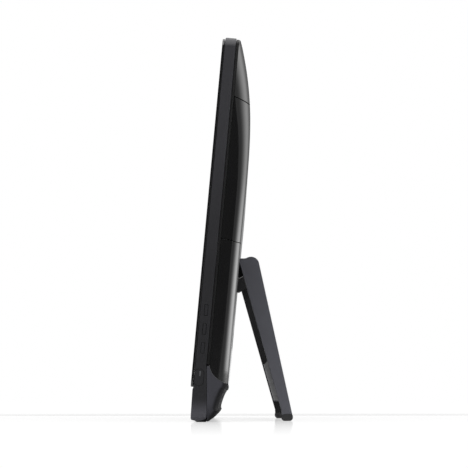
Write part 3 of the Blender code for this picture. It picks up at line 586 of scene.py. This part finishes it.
def flowing(points, steps=6):
    """A smooth line through the points."""
    line = []
    for i in range(len(points) - 1):
        before = points[max(0, i - 1)]
        here, after = points[i], points[i + 1]
        beyond = points[min(len(points) - 1, i + 2)]
        for k in range(steps):
            t = k / steps
            line.append(tuple(
                0.5 * (2 * b + (c - a) * t + (2 * a - 5 * b + 4 * c - d) * t * t
                       + (3 * b - a - 3 * c + d) * t ** 3)
                for a, b, c, d in zip(before, here, after, beyond)
            ))
    return line + [points[-1]]


def applied(obj):
    """The object with its modifiers made real."""
    bpy.context.view_layer.update()
    graph = bpy.context.evaluated_depsgraph_get()
    mesh = bpy.data.meshes.new_from_object(obj.evaluated_get(graph))
    obj.modifiers.clear()
    old = obj.data
    obj.data = mesh
    bpy.data.meshes.remove(old)
    return obj


def combine(target, tool, operation):
    modifier = target.modifiers.new(tool.name, "BOOLEAN")
    modifier.operation = operation
    modifier.object = tool
    modifier.solver = "EXACT"
    applied(target)
    bpy.data.objects.remove(tool)
    return target


def cut(target, *tools):
    for tool in tools:
        combine(target, tool, "DIFFERENCE")
    return target


def join(target, *tools):
    for tool in tools:
        combine(target, tool, "UNION")
    return target


def slab_point(y, z):
    """A world (y, z) point in the slab's own frame."""
    across = y - GLASS_FOOT_Y
    up = z - GLASS_FOOT_Z
    return (across * math.cos(LEAN) - up * math.sin(LEAN), across * math.sin(LEAN) + up * math.cos(LEAN))


def world_point(y, z):
    """A (y, z) point of the slab's frame, in the world."""
    return (
        GLASS_FOOT_Y + y * math.cos(LEAN) + z * math.sin(LEAN),
        GLASS_FOOT_Z - y * math.sin(LEAN) + z * math.cos(LEAN),
    )


def slab_outline(points):
    return [slab_point(y, z) for y, z in points]


def soften(obj, edge, segments=3, angle=32.0):
    """Breaks the sharp edges and shades the rest smooth."""
    shape = bmesh.new()
    shape.from_mesh(obj.data)
    bmesh.ops.remove_doubles(shape, verts=shape.verts, dist=0.000002)
    bmesh.ops.dissolve_limit(
        shape, angle_limit=math.radians(0.4), verts=shape.verts, edges=shape.edges, delimit={"NORMAL"},
    )
    shape.to_mesh(obj.data)
    shape.free()
    if edge > 0.0:
        bevel = obj.modifiers.new("edges", "BEVEL")
        bevel.width = edge
        bevel.segments = segments
        bevel.limit_method = "ANGLE"
        bevel.angle_limit = math.radians(angle)
        bevel.use_clamp_overlap = True
        bevel.miter_outer = "MITER_ARC"
    for polygon in obj.data.polygons:
        polygon.use_smooth = True
    normals = obj.modifiers.new("shading", "WEIGHTED_NORMAL")
    normals.weight = 60
    normals.keep_sharp = True
    return applied(obj)


def piece(obj, name, body, slot, place=SLAB, nodes=(), edge=EDGE, segments=3, finish=None):
    """Softens a shape, puts it in place with its finish, and rides it on its body."""
    soften(obj, edge, segments)
    obj.name = name
    obj.data.name = name
    obj.data.transform(place)
    obj.data.materials.clear()
    obj.data.materials.append(finish or FINISHES[slot])
    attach(obj, body)
    if nodes:
        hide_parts(*nodes)
    return obj


def body_with(node):
    return next(body for body, nodes in frame["record"]["behaviour"]["bodies"].items() if node in nodes)


def refined(node, edge=0.00015, segments=2, finish=None):
    """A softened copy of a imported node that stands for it."""
    source = frame["nodes"][node]
    obj = bpy.data.objects.new(node + "_skin", source.data.copy())
    bpy.context.scene.collection.objects.link(obj)
    for name in [a.name for a in obj.data.attributes if a.name == "custom_normal"]:
        obj.data.attributes.remove(obj.data.attributes[name])
    return piece(obj, node + "_skin", body_with(node), SLOTS[node], WORLD, (node,), edge, segments, finish)


# ---------------------------------------------------------------- glass and front frame

def glass():
    outline = rounded_rectangle((-HALF_WIDTH, 0.0), (HALF_WIDTH, GLASS_HEIGHT), CORNER_RADIUS, 20)
    piece(prism("glass", outline, 0.0, GLASS_THICKNESS, "Y"), "glass", "computer", "glass",
          nodes=("front_glass",), edge=0.0006, segments=4)


def power_outline(grow):
    half_width = POWER_HALF[0] + grow
    half_height = POWER_HALF[1] + grow
    low = (POWER_DEPTH - half_width, POWER_HEIGHT - half_height)
    high = (POWER_DEPTH + half_width, POWER_HEIGHT + half_height)
    return rounded_rectangle(low, high, half_width - 0.0002, 14)


def frame_moulding():
    chin = CHIN_BACK + bend(CHIN_HIGH, CHIN_DIP, CHIN_LOW, CHIN_STEPS) + CHIN_FACE
    outline = [(FRAME_FRONT, -0.0008), (FRAME_FRONT, FRAME_TOP - 0.0014), (FRAME_FRONT + 0.0012, FRAME_TOP)]
    outline += [(FRAME_BACK, FRAME_TOP), (FRAME_BACK, 0.0205)]
    moulding = prism("moulding", outline + slab_outline(chin), -HALF_WIDTH, HALF_WIDTH)
    top = rounded_rectangle((-HALF_WIDTH, CHIN_BOTTOM), (HALF_WIDTH, FRAME_TOP), FRAME_CORNER, 20)
    bottom = rounded_rectangle((-HALF_WIDTH, CHIN_BOTTOM), (HALF_WIDTH, FRAME_TOP), CHIN_CORNER, 20)
    edge = [point for point in top if point[1] > 0.0] + [point for point in bottom if point[1] < 0.0]
    combine(moulding, prism("edge", edge, -0.02, 0.05, "Y"), "INTERSECT")
    inner = HALF_WIDTH - FRAME_WALL
    bay_top = GLASS_HEIGHT - FRAME_WALL
    bay = rounded_rectangle((-inner, 0.0005), (inner, bay_top), CORNER_RADIUS - FRAME_WALL, 8)
    cavity = slab_outline(CHIN_HOLLOW)
    cut(moulding, prism("bay", bay, -0.01, 0.05, "Y"), prism("cavity", cavity, -inner, inner))
    for side in (-1, 1):
        low, high = ends_on(side, SPEAKER_ENDS)
        cut(moulding, box("window", (low, -0.008, -0.0210), (high, 0.0052, -0.0090)))
    half_depth, half_height = BUTTON_SLOT_HALF
    for height in BUTTON_HEIGHTS.values():
        low = (BUTTON_DEPTH - half_depth, height - half_height)
        high = (BUTTON_DEPTH + half_depth, height + half_height)
        cut(moulding, prism("slot", rounded_rectangle(low, high, 0.0013, 8), *NEAR_SIDE))
    cut(moulding, box("room", (0.2300, 0.0025, 0.0006), (inner, 0.0200, 0.0200)))
    cut(moulding, prism("pill", power_outline(GAP), *NEAR_SIDE))
    outside, inside = FAR_SIDE
    for low, high, front, back in SIDE_SOCKETS:
        cut(moulding, box("slot", (outside, front - GAP, low - GAP), (inside, back + GAP, high + GAP)))
    piece(moulding, "front_moulding", "computer", "frame", nodes=("front_frame",))


def foot_pads():
    under_chin = [(y, z - GAP) for y, z in bend(CHIN_HIGH, CHIN_DIP, CHIN_LOW, CHIN_STEPS)[:-6]]
    outline = slab_outline(PAD_SOLE + under_chin)
    for side, label in SIDES:
        pad = prism("pad", outline, *ends_on(side, PAD_ENDS))
        piece(pad, f"front_pad_{label}", "computer", "rubber", nodes=(f"foot_pad_{label}",), edge=0.0002)


# ---------------------------------------------------------------- rear covers

def back_depth(z):
    """How deep the rear cover is at a height: it swells a little above the middle, then thins to the top."""
    share = min(1.0, max(0.0, (z - BULGE_START) / (BULGE_END - BULGE_START)))
    above = max(0.0, z - TAPER_START)
    depth = COVER_DEPTH + BULGE * share ** 2 * (3.0 - 2.0 * share)
    return max(COVER_FRONT + COVER_LEAST, depth - TAPER_SCALE * above ** TAPER_POWER)


def edge_round(z):
    return COVER_ROUND + ROUND_GROWTH * max(0.0, z - ROUND_START) ** 2


def half_width_at(z):
    above = max(0.0, z - (COVER_TOP - CORNER_RADIUS))
    return HALF_WIDTH - CORNER_RADIUS + math.sqrt(max(0.0, CORNER_RADIUS ** 2 - above ** 2))


def cover_section(z, front, inset):
    """One level of the cover. Where its round is deeper than it is, the arc starts part of the way round."""
    radius = edge_round(z)
    level = back_depth(z) - radius
    outer_start = math.asin(max(0.0, COVER_FRONT - level) / radius)
    middle = half_width_at(z) - radius * math.cos(outer_start)
    radius -= inset
    start = math.asin(min(0.999, max(0.0, COVER_FRONT - level) / radius))
    sweep = math.pi / 2 - start
    left = circle((-middle, level), radius, CURVE_STEPS, math.pi - start, -sweep)
    right = circle((middle, level), radius, CURVE_STEPS, math.pi / 2, -sweep)
    points = [(left[0][0], front)] + left + right + [(right[-1][0], front)]
    return [(x, y, z) for x, y in points]


def loft(name, rings_of_points):
    shape = bmesh.new()
    rings = [[shape.verts.new(point) for point in ring] for ring in rings_of_points]
    shape.faces.new(rings[0])
    shape.faces.new(rings[-1])
    for first, second in zip(rings, rings[1:]):
        for i in range(len(first)):
            j = (i + 1) % len(first)
            shape.faces.new((first[i], first[j], second[j], second[i]))
    return object_of(name, shape)


def sweep_edge(shift=0.0):
    points = bend(SWEEP_FRONT, SWEEP_PULL, SWEEP_BACK, 14)
    return [(y - shift, z - shift) for y, z in points]


def between(low_line, high_line, gap=GAP):
    lower = [(y, z + gap / 2) for y, z in low_line]
    upper = [(y, z - gap / 2) for y, z in high_line]
    return lower + upper[::-1]


def cover_shell(levels, inner_levels, outline):
    shell = loft("shell", [cover_section(z, COVER_FRONT, 0.0) for z in levels])
    combine(shell, prism("slice", outline, -0.3, 0.3), "INTERSECT")
    hollow = loft("hollow", [cover_section(z, COVER_FRONT - 0.004, COVER_WALL) for z in inner_levels])
    return cut(shell, hollow)


def rear_covers():
    top = COVER_TOP
    bend_top = [top - CORNER_RADIUS * (1 - math.sin(math.pi / 2 * i / 12)) for i in range(1, 13)]
    levels = [0.25] + spread(0.262, top - CORNER_RADIUS, 20) + bend_top
    outline = between(UPPER_SEAM, [(0.0100, 0.3400), (0.0450, 0.3400)], SEAM_GAP)
    upper = cover_shell(levels, spread(0.2504, 0.3100, 12), outline)
    piece(upper, "cover_upper", "computer", "cover", nodes=("rear_cover_upper",), edge=SEAM_EDGE)

    levels = [0.12, 0.15] + spread(0.164, 0.29, 24)
    inner_levels = [0.11, 0.15] + spread(0.164, 0.30, 16)
    middle = cover_shell(levels, inner_levels, between(MIDDLE_SEAM, UPPER_SEAM, SEAM_GAP))
    for i in range(VENTS):
        x = (i - (VENTS - 1) / 2) * VENT_PITCH
        slot = rounded_rectangle((x - VENT_HALF, VENT_LOW), (x + VENT_HALF, VENT_HIGH), 0.00149, 5)
        cut(middle, prism("vent", slot, *COVER_BACK, "Y"))
    piece(middle, "cover_middle", "computer", "cover", nodes=("rear_cover_middle",), edge=SEAM_EDGE)

    low_edge = [(0.0100, 0.0215)] + sweep_edge() + [(0.0450, 0.0054)]
    outline = between(low_edge, MIDDLE_SEAM)
    lower = cover_shell([-0.02, BULGE_START, 0.155], [-0.03, BULGE_START, 0.165], outline)
    inside, outside = COVER_BACK
    for side in (-1, 1):
        low, high = ends_on(side, (HINGE_WINDOW_START, ARM_OUTER + 0.0012))
        window = ((low, inside, HINGE_WINDOW_LOW), (high, outside, HINGE_WINDOW_HIGH))
        cut(lower, box("hinge_window", *window))
        for height in SCREW_HEIGHTS:
            centre = (side * SCREW_X, height)
            floor_of_sink = back_depth(height) - SCREW_SINK
            cut(lower, cylinder("sink", centre, SCREW_SINK_RADIUS, floor_of_sink, outside, segments=32))
            cut(lower, cylinder("hole", centre, SCREW_HOLE_RADIUS, inside, outside, segments=24))
    cut(lower, prism("connector_bay", rounded_rectangle(*CONNECTOR_BAY, 0.0020, 6), *COVER_BACK, "Y"))
    cut(lower, prism("lock_slot", rounded_rectangle(*LOCK_SLOT, 0.0008, 5), *COVER_BACK, "Y"))
    piece(lower, "cover_lower", "computer", "cover", nodes=("rear_cover_lower",), edge=SEAM_EDGE)


def belly_rings(front, inset, low):
    """Sections up the belly, with round rear edges, and a small step where the lower lip meets the sweep."""
    rings = []
    half = HALF_WIDTH - inset
    for back, z in list(BELLY_LOWER) + flowing(BELLY_UPPER, 3):
        back -= inset
        radius = max(0.0003, min(BELLY_ROUND, back + inset - SEAM_Y - 0.0005) - inset)
        points = [(-half, front)]
        points += circle((-half + radius, back - radius), radius, 14, math.pi, -math.pi / 2)
        points += circle((half - radius, back - radius), radius, 14, math.pi / 2, -math.pi / 2)
        points += [(half, front)]
        rings.append([(x, y, max(z, low)) for x, y in points])
        low = max(low, z) + 0.00005
    return rings


def rim_line():
    """The line of the sweep round the cover's side and onto its back."""
    points = []
    for y, z in bend(SWEEP_FRONT, SWEEP_PULL, SWEEP_BACK, 40):
        level = back_depth(z) - COVER_ROUND
        above = min(COVER_ROUND, max(0.0, y - level))
        x = HALF_WIDTH - COVER_ROUND + math.sqrt(COVER_ROUND ** 2 - above ** 2)
        points.append((x, y - GAP / 2, z - GAP / 2))
    return points


def tube(name, path, radius):
    """A thin round bead along a path."""
    curve = bpy.data.curves.new(name, "CURVE")
    curve.dimensions = "3D"
    curve.bevel_depth = radius
    curve.bevel_resolution = 3
    curve.use_fill_caps = True
    line = curve.splines.new("POLY")
    line.points.add(len(path) - 1)
    for point, place in zip(line.points, path):
        point.co = (*place, 1.0)
    made = bpy.data.objects.new(name, curve)
    bpy.context.scene.collection.objects.link(made)
    bpy.context.view_layer.update()
    mesh = bpy.data.meshes.new_from_object(made)
    bpy.data.objects.remove(made)
    obj = bpy.data.objects.new(name, mesh)
    bpy.context.scene.collection.objects.link(obj)
    return obj


def belly():
    outer = loft("belly", belly_rings(SEAM_Y + GAP, 0.0, 0.0))
    top = [world_point(y, z) for y, z in BELLY_FRONT_TOP + sweep_edge(GAP)]
    under = [(SEAM_Y - 0.01, 0.0)] + top + [(0.0, 0.0345), (0.0, 0.0)]
    combine(outer, prism("under", under, -0.3, 0.3), "INTERSECT")
    cut(outer, loft("hollow", belly_rings(SEAM_Y - 0.01, COVER_WALL, BELLY_FLOOR)))
    piece(outer, "belly", "computer", "frame", WORLD, ("base_cover",), edge=0.0003, finish=BELLY_FINISH)
    for side, label in SIDES:
        rim = tube(f"rim_{label}", [(side * (x - RIM_RADIUS), y, z) for x, y, z in rim_line()], RIM_RADIUS)
        piece(rim, f"belly_rim_{label}", "computer", "frame", edge=0.0, finish=RIM_HIGHLIGHT_FINISH)


# ---------------------------------------------------------------- stand

def shoe_line(drop=0.0):
    return [(y, z - drop) for y, z in bend(*SHOE_TOP, 12)]


def front_of_bar(z):
    """The depth of the crossbar's front at a height, a little behind the arms' sloping fronts."""
    slope = (ARM_FRONT_LOW[0] - ARM_FRONT_HIGH[0]) / (ARM_FRONT_HIGH[1] - ARM_FRONT_LOW[1])
    return ARM_FRONT_HIGH[0] + (ARM_FRONT_HIGH[1] - z) * slope + CROSSBAR_INSET


def stand():
    outline = [ARM_FRONT_HIGH, (-0.0035, 0.1604), (0.0020, 0.1604)]
    start = math.radians(122)
    outline += circle((HINGE_Y, HINGE_Z), HINGE_BARREL, 40, start, ARM_TAPER - start)
    outline += shoe_line() + [ARM_FRONT_LOW]
    casting = prism("arm", outline, -ARM_OUTER, -ARM_INNER)
    join(casting, prism("arm", outline, ARM_INNER, ARM_OUTER))
    bar = [(front_of_bar(z), z) for z in (CROSSBAR_LOW, CROSSBAR_HIGH)]
    bar += [(front_of_bar(z) + CROSSBAR_DEPTH, z + 0.002) for z in (CROSSBAR_HIGH, CROSSBAR_LOW)]
    join(casting, prism("bar", bar, -ARM_INNER - 0.002, ARM_INNER + 0.002))
    shoe = SHOE_BACK + shoe_line(SHOE_GAP) + SHOE_FRONT
    for side, label in SIDES:
        low, high = ends_on(side, (PIN_HOLE_START, ARM_OUTER - 0.0015))
        cut(casting, cylinder("bore", (HINGE_Y, HINGE_Z), PIN_HOLE_RADIUS, low, high, "X", 32))
        low, high = ends_on(side, (ARM_INNER + 0.0002, ARM_OUTER - 0.0002))
        piece(prism("shoe", shoe, low, high), f"stand_shoe_{label}", "stand", "rubber", WORLD,
              (f"stand_foot_{label}",), edge=0.0005)
    piece(casting, "stand_casting", "stand", "stand", WORLD, ("stand_frame",), edge=0.0006, segments=4)


# ---------------------------------------------------------------- everything else

def skirt_outline(top, inset):
    """A strip behind the chassis band that closes the view through the gap round the covers."""
    low, high = (-SKIRT_HALF + inset, SKIRT_FOOT + inset), (SKIRT_HALF - inset, top - inset)
    return rounded_rectangle(low, high, SKIRT_CORNER - inset, 8)


def details():
    """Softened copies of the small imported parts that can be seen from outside, and the band's skirts."""
    for node in (*BUTTON_HEIGHTS, "power_button"):
        refined(node, 0.0003, 3)
    y, z = POWER_DEPTH + LENS_OFFSET[0], POWER_HEIGHT + LENS_OFFSET[1]
    low, high = (y - LENS_HALF[0], z - LENS_HALF[1]), (y + LENS_HALF[0], z + LENS_HALF[1])
    lens = prism("lens", rounded_rectangle(low, high, 0.0005, 6), *LENS_ENDS)
    piece(lens, "power_lens", "power_button", "light", nodes=("power_light",), edge=0.0001)
    for label in ("left", "right"):
        refined(f"speaker_grille_{label}", 0.0)
        refined(f"hinge_bracket_{label}", 0.0004)
        refined(f"hinge_pin_{label}", 0.0003)
        for level in ("lower", "upper"):
            refined(f"cover_screw_{level}_{label}", 0.0001, finish=SCREW_FINISH)
    for node in ("usb_socket_1", "usb_socket_2", "hdmi_socket", "lan_socket", "usb_socket_side_1",
                 "usb_socket_side_2", "headset_socket", "card_slot", "power_inlet", "connector_plate"):
        refined(node, 0.00012)
    refined("chassis_band", 0.0005, 3)
    for name, top, back in SKIRTS:
        skirt = prism(name, skirt_outline(top, 0.0), SKIRT_FRONT, back, "Y")
        cut(skirt, prism("hole", skirt_outline(top, SKIRT_WALL), 0.0, 0.03, "Y"))
        piece(skirt, name, "computer", "band", edge=0.0)


def carried_over():
    """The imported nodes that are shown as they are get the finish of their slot."""
    for name, obj in frame["nodes"].items():
        if obj.hide_render:
            continue
        for place in range(len(obj.material_slots)):
            obj.material_slots[place].material = FINISHES[SLOTS[name]]
        if not obj.material_slots:
            obj.data.materials.append(FINISHES[SLOTS[name]])


# ---------------------------------------------------------------- floor, light and camera

def plane(name, corners, material):
    shape = bmesh.new()
    shape.faces.new([shape.verts.new(corner) for corner in corners])
    obj = object_of(name, shape)
    obj.data.materials.append(material)
    return obj


def blended(tree, share, first, second):
    made = add(tree, "ShaderNodeMixShader")
    tree.links.new(share, made.inputs[0])
    tree.links.new(first.outputs[0], made.inputs[1])
    tree.links.new(second.outputs[0], made.inputs[2])
    return made


def emission(tree, strength):
    made = add(tree, "ShaderNodeEmission", {"Color": grey(1.0)})
    tree.links.new(strength, made.inputs["Strength"])
    return made


def floor():
    """A white floor: matt near the object, where it takes the contact shadow and a faint reflection."""
    made, tree, end = bare("floor")
    place = place_in(tree)
    mottle = remap(tree, noise(tree, place, 3.0, 3.0), 0.3, 0.7, 0.94, 0.97)
    seen = add(tree, "ShaderNodeLightPath").outputs["Is Camera Ray"]
    dim = remap(tree, seen, 0.0, 1.0, FLOOR_DIM, 1.0)
    shaded = add(tree, "ShaderNodeBsdfDiffuse")
    shade = multiplied(tree, grey(FLOOR_SHADED), product(tree, mottle, dim))
    tree.links.new(shade, shaded.inputs["Color"])
    matt = add(tree, "ShaderNodeAddShader")
    tree.links.new(shaded.outputs[0], matt.inputs[0])
    tree.links.new(emission(tree, product(tree, dim, FLOOR_LIT)).outputs[0], matt.inputs[1])
    far = emission(tree, product(tree, dim, FLOOR_WHITENESS))
    sheen = add(tree, "ShaderNodeBsdfGlossy", {"Color": grey(1.0), "Roughness": 0.06})
    length = add(tree, "ShaderNodeVectorMath", operation="LENGTH")
    tree.links.new(place, length.inputs[0])
    off = length.outputs["Value"]
    shine = remap(tree, off, FLOOR_SHINE_START, FLOOR_SHINE_END, FLOOR_SHINE, 0.0)
    near = blended(tree, shine, matt, sheen)
    away = remap(tree, off, FLOOR_MATT, FLOOR_WHITE, 0.0, 1.0, True)
    tree.links.new(blended(tree, away, near, far).outputs[0], end)
    side = FLOOR_SIDE
    plane("floor", [(-side, -side, 0.0), (side, -side, 0.0), (side, side, 0.0), (-side, side, 0.0)], made)


def only_in_gloss(card):
    card.visible_camera = False
    card.visible_diffuse = False
    card.visible_shadow = False


def reflector():
    """A tall softbox behind the computer, brightest in the middle, fading to its sides."""
    made, tree, end = bare("reflector")
    where = parts_of(tree, place_in(tree))
    off = arithmetic(tree, "DIVIDE", arithmetic(tree, "SUBTRACT", where["X"], REFLECTOR_X), REFLECTOR_SPREAD)
    fall = arithmetic(tree, "EXPONENT", product(tree, product(tree, off, off), -0.5), 0.0)
    peak = remap(tree, where["Z"], 0.10, 0.30, REFLECTOR_PEAK, REFLECTOR_TOP, True)
    level = arithmetic(tree, "ADD", product(tree, fall, peak), REFLECTOR_BASE)
    tree.links.new(emission(tree, level).outputs[0], end)
    (left, right), y, top = REFLECTOR_ENDS, REFLECTOR_Y, REFLECTOR_HEIGHT
    corners = [(left, y, 0.0), (right, y, 0.0), (right, y, top), (left, y, top)]
    only_in_gloss(plane("reflector", corners, made))


def far_strip():
    """A low white strip beyond the computer, for the floor's sheen to mirror, fading out upwards."""
    made, tree, end = bare("far_strip")
    level = remap(tree, parts_of(tree, place_in(tree))["Z"], *STRIP_FADE, True)
    tree.links.new(emission(tree, level).outputs[0], end)
    x, half, top = STRIP_X, STRIP_HALF, STRIP_HEIGHT
    corners = [(x, -half, 0.0), (x, half, 0.0), (x, half, top), (x, -half, top)]
    only_in_gloss(plane("far_strip", corners, made))


def softbox(name, centre, target, width, height, radiance):
    """A rectangular light that is seen in reflections and not by the camera itself."""
    data = bpy.data.lights.new(name, "AREA")
    data.shape = "RECTANGLE"
    data.size = width
    data.size_y = height
    data.energy = radiance * math.pi * width * height
    obj = bpy.data.objects.new(name, data)
    obj.location = centre
    obj.rotation_mode = "QUATERNION"
    obj.rotation_quaternion = (Vector(target) - Vector(centre)).to_track_quat("-Z", "Y")
    obj.visible_camera = False
    bpy.context.scene.collection.objects.link(obj)


def lights():
    middle = (cad_low + cad_high) / 2
    softbox("overhead_box", (0.1, 0.1, 1.60), middle, 1.6, 1.6, OVERHEAD)
    softbox("key_box", (1.10, -0.15, 1.20), (0.24, -0.02, 0.34), 0.8, 0.8, KEY)
    reflector()
    far_strip()

    world = bpy.data.worlds.new("studio")
    bpy.context.scene.world = world
    world.use_nodes = True
    tree = world.node_tree
    background = tree.nodes["Background"]
    where = parts_of(tree, add(tree, "ShaderNodeTexCoord").outputs["Generated"])
    sideways = arithmetic(tree, "ABSOLUTE", where["X"], 0.0)
    open_side = remap(tree, sideways, 0.35, 0.90, ROOM_SIDE, 0.0, True)
    high = remap(tree, where["Z"], 0.15, 0.9, 0.0, ROOM_HIGH, True)
    room = arithmetic(tree, "ADD", arithmetic(tree, "ADD", open_side, high), ROOM_DARK)
    height = arithmetic(tree, "MAXIMUM", where["Z"], 0.0)
    overhead = product(tree, product(tree, height, height), SKY_HIGH)
    sky = multiplied(tree, grey(1.0), arithmetic(tree, "ADD", overhead, SKY_LOW))
    path = add(tree, "ShaderNodeLightPath")
    soft = mixed(tree, path.outputs["Is Diffuse Ray"], multiplied(tree, grey(1.0), room), sky)
    tree.links.new(mixed(tree, path.outputs["Is Camera Ray"], soft, grey(1.0)), background.inputs["Color"])


def camera():
    data = bpy.data.cameras.new("camera")
    data.sensor_width = 36.0
    data.lens = CAMERA_LENS
    data.clip_start = 0.05
    data.clip_end = 50.0
    obj = bpy.data.objects.new("camera", data)
    level = math.cos(CAMERA_TILT)
    forward = Vector((-level * math.cos(CAMERA_YAW), -level * math.sin(CAMERA_YAW), math.sin(CAMERA_TILT)))
    roll = Matrix.Rotation(CAMERA_ROLL, 3, "Z").to_quaternion()
    obj.location = CAMERA_PLACE
    obj.rotation_mode = "QUATERNION"
    obj.rotation_quaternion = forward.to_track_quat("-Z", "Y") @ roll
    bpy.context.scene.collection.objects.link(obj)
    bpy.context.scene.camera = obj


camera()
lights()
floor()
glass()
frame_moulding()
foot_pads()
rear_covers()
belly()
stand()
details()
carried_over()
bpy.context.scene.view_settings.view_transform = "Standard"
